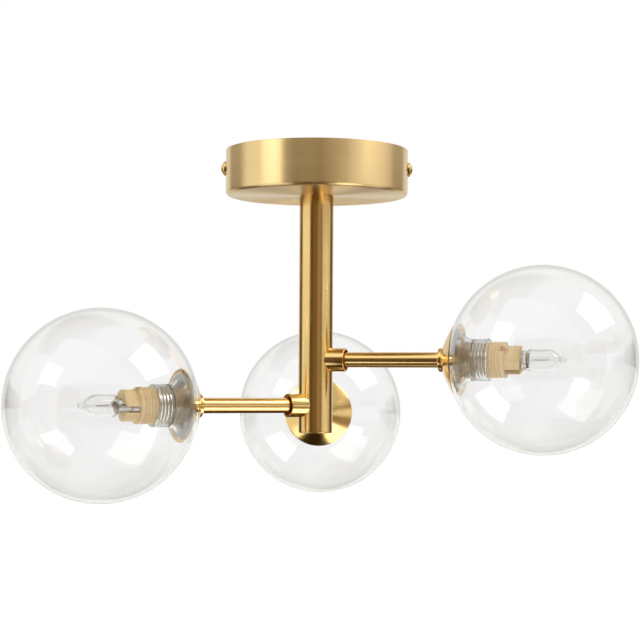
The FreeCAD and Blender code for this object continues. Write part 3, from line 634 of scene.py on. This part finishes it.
def globe_face(ball, roll_radius, neck):
    """One face of the glass: ball, roll and neck, from the far end to the neck's end."""
    centre = (GLOBE_X, 0.0)
    roll = (ROLL_X, NECK_BORE + ROLL_IN + GLASS_WALL)
    towards = Vector((roll[0] - centre[0], roll[1])).normalized()
    touch = tuple(Vector(centre) + towards * ball)
    ball_steps, roll_steps, neck_steps = 88, 28, 44
    points = arc_points(centre, (GLOBE_X + ball, 0.0), touch, ball_steps)
    start = Vector(touch)
    first = math.atan2(start.y - roll[1], start.x - roll[0])
    turn = (-math.pi / 2 - first) % TAU
    points += [(roll[0] + roll_radius * math.cos(first + turn * k / roll_steps),
                roll[1] + roll_radius * math.sin(first + turn * k / roll_steps))
               for k in range(1, roll_steps + 1)]
    return points + [(ROLL_X + (NECK_END - ROLL_X) * k / neck_steps, neck)
                     for k in range(1, neck_steps + 1)]


def neck_thread(x, radius, angle):
    """Thread pressed into the neck; on the face towards the bulb it runs out at the end."""
    if radius > NECK_BORE + GLASS_WALL + NEAR or x > NECK_END + NEAR:
        return 0.0, 0.0
    run_in, full = NECK_THREAD_RUN_IN
    shown = fade(x, ROLL_X + run_in, ROLL_X + full)
    if radius >= NECK_BORE + GLASS_WALL / 2:
        shown *= 1 - fade(x, NECK_END - NECK_THREAD_RUN_OUT, NECK_END)
    return 0.0, -THREAD_DEPTH * (1 - thread_wave(x, angle)) * shown


def globe(arm):
    """Blown ball whose mouth rolls in to a threaded neck of even wall."""
    outer = globe_face(GLOBE_RADIUS, ROLL_IN + GLASS_WALL, NECK_BORE)
    inner = globe_face(GLOBE_RADIUS - GLASS_WALL, ROLL_IN, NECK_BORE + GLASS_WALL)
    profile = outer + [(NECK_END + NECK_EDGE, NECK_BORE + GLASS_WALL / 2)] + inner[::-1]
    made = turned_piece(arm + "_globe_blown", profile, "clear_glass", 192, neck_thread,
                        closed=False, sharp=80.0)
    place(made, arm_matrix(arm), arm + "_glass", "clear_glass", arm + "_globe")


# ---------------------------------------------------------------- lampholder
def holder_skirt(arm):
    """Threaded skirt with a plain flange under the nose, in step with the glass's thread."""
    start = SKIRT_START + SKIRT_EDGE
    end = SKIRT_END - FLANGE
    turn = math.radians(ARMS[arm][2])
    steps = 150
    profile = [(SKIRT_START, 0.0), (SKIRT_START, SKIRT_RADIUS - SKIRT_EDGE)]
    profile += [(start + (end - start) * k / steps, SKIRT_RADIUS) for k in range(steps + 1)]
    profile += round_corner((end, SKIRT_RADIUS), (SKIRT_END, SKIRT_RADIUS), (SKIRT_END, 0),
                            FLANGE_EDGE, 4)
    profile += [(SKIRT_END, 0.0)]

    def skirt_thread(x, radius, angle):
        if radius < SKIRT_RADIUS - NEAR or x > end + NEAR:
            return 0.0, 0.0
        shown = fade(x, SKIRT_START, SKIRT_START + SKIRT_THREAD_RUN_IN)
        shown *= 1 - fade(x, end - SKIRT_THREAD_RUN_OUT, end)
        ridge = (thread_wave(x, angle + turn) - THREAD_ROOT_WIDTH) / THREAD_FLANK
        return 0.0, -THREAD_DEPTH * (1 - min(max(ridge, 0.0), 1.0)) * shown

    made = turned_piece(arm + "_holder_skirt", profile, "cream_plastic", 96, skirt_thread,
                        closed=False, sharp=50.0)
    combine(made, [vent_tool()], "DIFFERENCE")
    place(made, arm_matrix(arm, True), "fixed", "cream_plastic", arm + "_lampholder")


def vent_tool():
    """Round tool for the notch at the nose's root."""
    back, front = SKIRT_END - VENT_RADIUS, SKIRT_END + VENT_RADIUS
    profile = [(back, 0), (back, VENT_RADIUS), (front, VENT_RADIUS), (front, 0)]
    verts, faces = lathe(profile, 32, closed=False)
    verts = [(x, y, z + NOSE_RADIUS) for x, y, z in verts]
    return mesh_object("vent_tool", verts, faces, "cream_plastic")


def nose_outline(side):
    """Outline of one half of the slotted nose, seen along the arm."""
    first = math.asin(SLOT_HALF / NOSE_RADIUS)
    flat = math.radians(NOSE_FLAT_TURN)
    steps = 48
    points = []
    for k in range(steps + 1):
        angle = first + (math.pi - 2 * first) * k / steps
        if side < 0:
            angle += math.pi
        reach = NOSE_FLAT / max(abs(math.cos(angle - flat)), 1e-6)
        radius = min(NOSE_RADIUS, reach)
        points.append((radius * math.cos(angle), radius * math.sin(angle)))
    points[0] = (points[0][0], side * SLOT_HALF)
    points[-1] = (points[-1][0], side * SLOT_HALF)
    return points


def holder_nose(arm, side, name):
    """One half of the nose, its edges rounded."""
    made = prism(arm + name, nose_outline(side), SKIRT_END - NOSE_OVERLAP, NOSE_END,
                 "cream_plastic", 30.0)
    if side > 0:
        combine(made, [vent_tool()], "DIFFERENCE")
    modifier = made.modifiers.new("edge", "BEVEL")
    modifier.width = NOSE_EDGE
    modifier.segments = 4
    modifier.limit_method = "ANGLE"
    modifier.angle_limit = math.radians(50)
    bake_modifiers(made)
    shade(made.data, 40)
    place(made, arm_matrix(arm, True), "fixed", "cream_plastic")


def holder_base(arm):
    """End cap behind the skirt."""
    profile = [(HOLDER_BACK, HOLDER_BASE_BORE)]
    profile += round_corner((HOLDER_BACK, 0), (HOLDER_BACK, HOLDER_BASE_RADIUS),
                            (SKIRT_START, HOLDER_BASE_RADIUS), HOLDER_BASE_EDGE)
    profile += [(SKIRT_START, HOLDER_BASE_RADIUS), (SKIRT_START, HOLDER_BASE_BORE)]
    made = turned_piece(arm + "_holder_end", profile, "cream_plastic", 96)
    place(made, arm_matrix(arm), "fixed", "cream_plastic", arm + "_holder_base")


# ---------------------------------------------------------------- bulb
def ogive(start, end, steps):
    """Arc from start to end that leaves start along the axis."""
    drop = start[1] - end[1]
    radius = ((end[0] - start[0]) ** 2 + drop ** 2) / (2 * drop)
    return arc_points((start[0], start[1] - radius), start, end, steps)


def dome(start, top, steps):
    """Arc from start to the axis at top, square to the axis there."""
    rise = top - start[0]
    radius = (rise ** 2 + start[1] ** 2) / (2 * rise)
    points = arc_points((top - radius, 0.0), start, (top, 0.0), steps)
    return points[:-1] + [(top, 0.0)]


def capsule_profile(inset):
    """The capsule's outside, or its hollow where inset is the wall."""
    radius = CAPSULE_RADIUS - inset
    start = CAPSULE_START + inset
    shoulder = CAPSULE_SHOULDER
    straight_end = CAPSULE_START + CAPSULE_STRAIGHT
    profile = [(start, 0.0), (start, radius - shoulder)]
    profile += arc_points((start + shoulder, radius - shoulder), (start, radius - shoulder),
                          (start + shoulder, radius), 8)[1:]
    tip_start = (straight_end + CAPSULE_TAPER - inset, TIP_RADIUS - inset / 2)
    profile += ogive((straight_end, radius), tip_start, 16)
    if inset:
        return profile + [(tip_start[0] + HOLLOW_TIP, 0.0)]
    return profile + dome(tip_start, tip_start[0] + TIP_LENGTH, 12)[1:]


def bulb(arm):
    """Quartz capsule on its flat pinch."""
    made, hollow = (turned_piece(name, capsule_profile(inset), "quartz_glass", 72,
                                 closed=False, sharp=60.0)
                    for name, inset in ((arm + "_bulb_capsule", 0.0), ("hollow", CAPSULE_WALL)))
    combine(made, [pinch(), bulb_neck()], "UNION")
    combine(made, [hollow], "DIFFERENCE")
    shade(made.data, 38)
    place(made, arm_matrix(arm, True), arm + "_bulb", "quartz_glass", arm + "_bulb_glass")


def pinch():
    """Flat pressed base of the bulb with rounded long edges."""
    width, height, edge = PINCH_HALF_WIDTH, PINCH_HALF_THICKNESS, PINCH_EDGE
    outline = []
    for side, face, first in ((1, 1, 0), (-1, 1, 90), (-1, -1, 180), (1, -1, 270)):
        for k in range(7):
            angle = math.radians(first + 15 * k)
            outline.append((side * (width - edge) + edge * math.cos(angle),
                            face * (height - edge) + edge * math.sin(angle)))
    return prism("pinch", outline, PINCH_START, CAPSULE_START + CAPSULE_WALL / 2, "quartz_glass")


def bulb_neck():
    """Round neck between pinch and capsule."""
    start = NOSE_END + BULB_NECK_GAP
    end = CAPSULE_START + CAPSULE_WALL / 2
    profile = [(start, 0), (start, BULB_NECK_RADIUS), (end, BULB_NECK_RADIUS), (end, 0)]
    return turned_piece("bulb_neck", profile, "quartz_glass", 48, closed=False)


def wire(name, points, radius, material, matrix, body):
    """A round wire through points, as a curve."""
    curve = bpy.data.curves.new(name, "CURVE")
    curve.dimensions = "3D"
    curve.bevel_depth = radius * MM
    curve.bevel_resolution = 3
    spline = curve.splines.new("POLY")
    spline.points.add(len(points) - 1)
    for target, point in zip(spline.points, points):
        target.co = (*(matrix @ Vector(point)), 1.0)
    made = scene_object(name, curve)
    curve.materials.append(MATERIALS[material])
    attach(made, body)
    return made


def filament(arm):
    """Coiled wire on the bulb's axis with its two supports."""
    floor = CAPSULE_START + CAPSULE_WALL
    near = floor + FILAMENT_START
    far = near + FILAMENT_LENGTH
    side, bend = SUPPORT_OFFSET, SUPPORT_BEND
    steps = COIL_TURNS * COIL_STEPS
    coil = []
    for k in range(steps + 1):
        share = k / steps
        angle = TAU * COIL_TURNS * share
        coil.append((near + COIL_INSET + (far - near - 2 * COIL_INSET) * share,
                     COIL_RADIUS * math.cos(angle), COIL_RADIUS * math.sin(angle)))
    along, across = SUPPORT_HOOK
    points = [(floor, -side, 0.0), (near - bend, -side, 0.0), (near, bend - side, 0.0),
              (near, -across, 0.0), (near + along, 0.0, 0.0)] + coil
    points += [(far - along, 0.0, 0.0), (far, across, 0.0), (far, side - bend, 0.0),
               (far - bend, side, 0.0), (floor, side, 0.0)]
    made = wire(arm + "_filament_coil", points, COIL_WIRE_RADIUS, "tungsten_wire",
                arm_matrix(arm, True), arm + "_bulb")
    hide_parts(arm + "_bulb_filament")


# ---------------------------------------------------------------- CAD nodes
def dress_cad_nodes():
    """Gives each shown CAD node its slot's procedural material."""
    slots = {row["node"]: row["material_slot"] for row in frame["record"]["subparts"]}
    for name, made in NODES.items():
        made.data.materials.clear()
        made.data.materials.append(MATERIALS[slots[name]])


# ---------------------------------------------------------------- light, floor and camera
WARM_DARK = colour(1.0, 0.60, 0.22)
WARM_LIGHT = colour(1.0, 1.0, 0.96)
OVERHEAD = 0.90
BELOW = 0.30
SKY_BLEND = (-0.7, 0.6)      # heights on a unit ball between which BELOW rises to OVERHEAD
MATT_SHARE = 0.65            # matt surfaces see this share of the studio, over this much light
PALE_FROM = 0.75             # from this brightness on the studio isn't warm
# Azimuth from the camera's side, elevation, half width and half height in degrees, softness,
# strength. Later panels lie over earlier ones.
PANELS = [
    (180.0, 0.0, 42.0, 40.0, 0.25, 0.78),
    (180.0, -22.0, 42.0, 16.0, 0.10, 0.68),
    (180.0, -52.0, 45.0, 13.0, 0.15, 0.10),
    (180.0, -78.0, 14.0, 12.0, 0.30, 0.60),
    (-125.0, -50.0, 30.0, 20.0, 0.20, 0.05),
    (150.0, -50.0, 26.0, 18.0, 0.20, 0.05),
    (-125.0, 60.0, 30.0, 22.0, 0.30, 0.35),
    (124.0, -2.0, 16.0, 10.0, 0.20, 0.10),
    (-124.0, -2.0, 16.0, 10.0, 0.20, 0.10),
    (-1.0, -13.0, 43.0, 38.0, 0.06, 0.20),
    (-32.0, 5.0, 11.0, 18.0, 0.20, 0.12),
    (21.0, -2.0, 12.0, 26.0, 0.20, 0.36),
    (-8.0, -28.0, 36.0, 18.0, 0.10, 0.07),
    (0.0, -64.0, 32.0, 16.0, 0.20, 0.03),
    (-73.0, 6.0, 29.0, 38.0, 0.12, 1.00),
    (69.0, 0.0, 24.0, 45.0, 0.10, 0.34),
    (69.0, 36.0, 24.0, 22.0, 0.10, 0.60),
    (69.0, -1.0, 23.0, 7.0, 0.15, 1.00),
    (-38.0, 54.0, 28.0, 22.0, 0.15, 1.20),
    (58.0, -46.0, 22.0, 17.0, 0.10, 2.6),
    (-52.0, -38.0, 13.0, 9.0, 0.15, 1.8),
    (87.0, 42.0, 19.0, 15.0, 0.05, 3.8),
    (-63.0, 30.0, 12.0, 10.0, 0.05, 3.8),
]


def world():
    """White to the camera and through glass; a plain studio for reflections and light."""
    made = bpy.data.worlds.new("studio")
    bpy.context.scene.world = made
    made.use_nodes = True
    tree = made.node_tree
    tree.nodes.clear()
    way = node(tree, "ShaderNodeTexCoord").outputs["Generated"]

    def towards(vector):
        dot = node(tree, "ShaderNodeVectorMath", {0: way, 1: vector}, operation="DOT_PRODUCT")
        return dot.outputs["Value"]

    def direction(azimuth, elevation):
        a, e = math.radians(azimuth), math.radians(elevation)
        return Vector((math.sin(a) * math.cos(e), -math.cos(a) * math.cos(e), math.sin(e)))

    def panel(azimuth, elevation, half_width, half_height, soft):
        """1 inside a flat rectangle seen from the object, 0 outside."""
        ahead = direction(azimuth, elevation)
        side = Vector((-ahead.y, ahead.x, 0)).normalized()
        up = ahead.cross(side).normalized()
        depth = math_node(tree, "MAXIMUM", towards(ahead), 0.001)
        inside = []
        for axis, half in ((side, half_width), (up, half_height)):
            share = math_node(tree, "ABSOLUTE", math_node(tree, "DIVIDE", towards(axis), depth))
            size = math.tan(math.radians(half))
            inside.append(ramp(tree, share, size * (1 - soft), size * (1 + soft), 1.0, 0.0))
        return math_node(tree, "MULTIPLY", *inside)

    height = node(tree, "ShaderNodeSeparateXYZ", {0: way}).outputs[2]
    value = ramp(tree, height, *SKY_BLEND, BELOW, OVERHEAD)
    for azimuth, elevation, half_width, half_height, soft, strength in PANELS:
        mask = panel(azimuth, elevation, half_width, half_height, soft)
        mixed = node(tree, "ShaderNodeMix", {0: mask, 2: value, 3: strength})
        value = mixed.outputs[0]
    # Light on matt surfaces is softer than what shines back from polished ones.
    depth = node(tree, "ShaderNodeLightPath").outputs["Diffuse Depth"]
    matt = math_node(tree, "GREATER_THAN", depth, 0.5)
    soft_value = math_node(tree, "MULTIPLY_ADD", value, MATT_SHARE, MATT_SHARE)
    strength = node(tree, "ShaderNodeMix", {0: matt, 2: value, 3: soft_value}).outputs[0]
    # The darker the surroundings, the warmer they are.
    paleness = math_node(tree, "MAXIMUM", ramp(tree, value, 0.0, PALE_FROM), matt)
    tint = mix_colour(tree, paleness, WARM_DARK, WARM_LIGHT)
    studio = node(tree, "ShaderNodeBackground", {"Color": tint, "Strength": strength})
    white = node(tree, "ShaderNodeBackground", {"Color": colour(1, 1, 1), "Strength": 1.0})
    mixed = node(tree, "ShaderNodeMixShader",
                 {0: straight_view(tree), 1: studio.outputs[0], 2: white.outputs[0]})
    node(tree, "ShaderNodeOutputWorld", {"Surface": mixed.outputs[0]})


def straight_view(tree):
    """1 for what the camera sees straight or through glass, without a reflection on the way."""
    path = node(tree, "ShaderNodeLightPath").outputs
    seen = math_node(tree, "MAXIMUM", path["Is Camera Ray"], path["Is Transmission Ray"])
    turns = math_node(tree, "ADD", path["Glossy Depth"], path["Diffuse Depth"])
    return math_node(tree, "MULTIPLY", seen, math_node(tree, "LESS_THAN", turns, 0.5))


FLOOR_HALF = 30.0            # metres, as the rest of these places
FLOOR_HEIGHT = -1.4
FLOOR_GLOW = 0.9             # share of white in the straight view of the floor
CAMERA_LENS = 92.48
CAMERA_PLACE = (0.002677, -1.0817, -0.15578)
CAMERA_TILT = 2.331          # degrees upwards
CAMERA_ROLL = 0.35


def floor():
    """Pale floor far below."""
    mesh = bpy.data.meshes.new("floor")
    corners = [(-1, -1), (1, -1), (1, 1), (-1, 1)]
    mesh.from_pydata([(x * FLOOR_HALF, y * FLOOR_HALF, FLOOR_HEIGHT) for x, y in corners],
                     [], [(0, 1, 2, 3)])
    ground = scene_object("floor", mesh)
    material, tree, shader = new_material("pale_floor")
    mottle = noise(tree, object_coordinates(tree), 3.0, 3.0)
    connect(tree, shader, {
        "Base Color": mix_colour(tree, mottle, colour(0.86, 0.86, 0.86), colour(0.82, 0.82, 0.82)),
        "Roughness": 0.9,
    })
    glow = node(tree, "ShaderNodeEmission", {"Color": colour(1, 1, 1), "Strength": 1.0})
    share = math_node(tree, "MULTIPLY", straight_view(tree), FLOOR_GLOW)
    mixed = node(tree, "ShaderNodeMixShader", {0: share, 1: shader.outputs[0], 2: glow.outputs[0]})
    connect(tree, tree.nodes["Material Output"], {"Surface": mixed.outputs[0]})
    mesh.materials.append(material)
    ground.visible_glossy = False


def camera():
    """The photograph's viewpoint, fitted to its outlines."""
    data = bpy.data.cameras.new("camera")
    data.sensor_width = 36.0
    data.lens = CAMERA_LENS
    made = scene_object("camera", data)
    pitch = Matrix.Rotation(math.radians(90 + CAMERA_TILT), 4, "X")
    roll = Matrix.Rotation(math.radians(CAMERA_ROLL), 4, "Z")
    made.matrix_world = Matrix.Translation(CAMERA_PLACE) @ pitch @ roll
    bpy.context.scene.camera = made


# ---------------------------------------------------------------- build
dress_cad_nodes()
canopy()
stem()
for arm in ARMS:
    collar(arm)
    tube(arm)
    ring(arm)
    cup(arm)
    globe(arm)
    holder_base(arm)
    holder_skirt(arm)
    holder_nose(arm, 1, "_holder_nose_a")
    holder_nose(arm, -1, "_holder_nose_b")
    bulb(arm)
    filament(arm)
world()
floor()
camera()

scene = bpy.context.scene
scene.view_settings.view_transform = "Standard"
scene.cycles.max_bounces = 32
scene.cycles.transmission_bounces = 28
scene.cycles.glossy_bounces = 8
